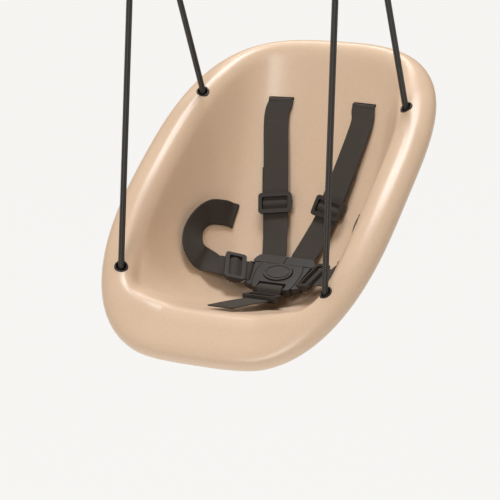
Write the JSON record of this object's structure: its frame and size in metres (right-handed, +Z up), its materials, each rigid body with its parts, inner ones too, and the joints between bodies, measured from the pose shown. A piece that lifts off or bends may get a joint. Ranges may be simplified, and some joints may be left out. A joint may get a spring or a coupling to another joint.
{
  "type": "toddler bucket swing",
  "caption": "Moulded scoop seat for a toddler with a rolled rim and a five-point harness, hung on braided ropes from steel fork hangers.",
  "frame": {"origin": "midway between the two hanger holes, on their common axis line", "axes": "+Z up, +X to the child's left as seated facing -Y, -Y is forward, the way the child faces"},
  "size_m": [0.343, 0.391, 0.6629],
  "materials": {
    "shell_plastic": "satin",
    "grommet_rubber": "satin",
    "rope_braid": "braided",
    "webbing": "woven",
    "black_plastic": "fine grain",
    "zinc_steel": "zinc plated",
    "bright_steel": "smooth"
  },
  "bodies": {
    "hangers": {"left_hanger": "zinc_steel", "right_hanger": "zinc_steel", "clevis_pins": "bright_steel", "pin_clips": "bright_steel"},
    "seat": {"seat_shell": "shell_plastic", "front_left_grommet": "grommet_rubber", "front_right_grommet": "grommet_rubber", "rear_left_grommet": "grommet_rubber", "rear_right_grommet": "grommet_rubber", "front_left_rope": "rope_braid", "front_right_rope": "rope_braid", "rear_left_rope": "rope_braid", "rear_right_rope": "rope_braid", "rope_knots": "rope_braid", "knot_washers": "zinc_steel", "rope_sheaves": "black_plastic", "rope_ferrules": "zinc_steel", "left_shoulder_strap": "webbing", "right_shoulder_strap": "webbing", "left_waist_strap": "webbing", "right_waist_strap": "webbing", "crotch_strap": "webbing", "buckle_cover": "black_plastic", "buckle_base": "black_plastic", "button_spring": "bright_steel", "left_shoulder_tongue": "black_plastic", "right_shoulder_tongue": "black_plastic", "left_waist_tongue": "black_plastic", "right_waist_tongue": "black_plastic", "strap_anchors": "black_plastic"},
    "release_button": {"release_button": "black_plastic"},
    "left_shoulder_slider_body": {"left_shoulder_slider": "black_plastic"},
    "right_shoulder_slider_body": {"right_shoulder_slider": "black_plastic"},
    "left_waist_slider_body": {"left_waist_slider": "black_plastic"},
    "right_waist_slider_body": {"right_waist_slider": "black_plastic"},
    "crotch_slider_body": {"crotch_slider": "black_plastic"}
  },
  "joints": [
    {"name": "swing", "type": "hinge", "parent": "hangers", "child": "seat", "pos_m": [0, 0, -0.044], "axis": [1, 0, 0], "range_deg": [-40, 40], "stiffness_Nm_per_rad": 17.6, "springref_deg": 4.11},
    {"name": "button_press", "type": "slide", "parent": "seat", "child": "release_button", "axis": [0, 0.4848, -0.8746], "range_m": [0, 0.002], "stiffness_N_per_m": 600, "springref_m": -0.001},
    {"name": "left_shoulder_adjust", "type": "slide", "parent": "seat", "child": "left_shoulder_slider_body", "axis": [-0.1999, 0.4237, 0.8835], "range_m": [-0.002, 0.04]},
    {"name": "right_shoulder_adjust", "type": "slide", "parent": "seat", "child": "right_shoulder_slider_body", "axis": [0.1999, 0.4237, 0.8835], "range_m": [-0.002, 0.04]},
    {"name": "left_waist_adjust", "type": "slide", "parent": "seat", "child": "left_waist_slider_body", "axis": [-0.8326, -0.4996, 0.2392], "range_m": [-0.001, 0.006]},
    {"name": "right_waist_adjust", "type": "slide", "parent": "seat", "child": "right_waist_slider_body", "axis": [0.8326, -0.4996, 0.2392], "range_m": [-0.001, 0.006]},
    {"name": "crotch_adjust", "type": "slide", "parent": "seat", "child": "crotch_slider_body", "axis": [0, 0.9887, -0.15], "range_m": [-0.008, 0.001]}
  ]
}
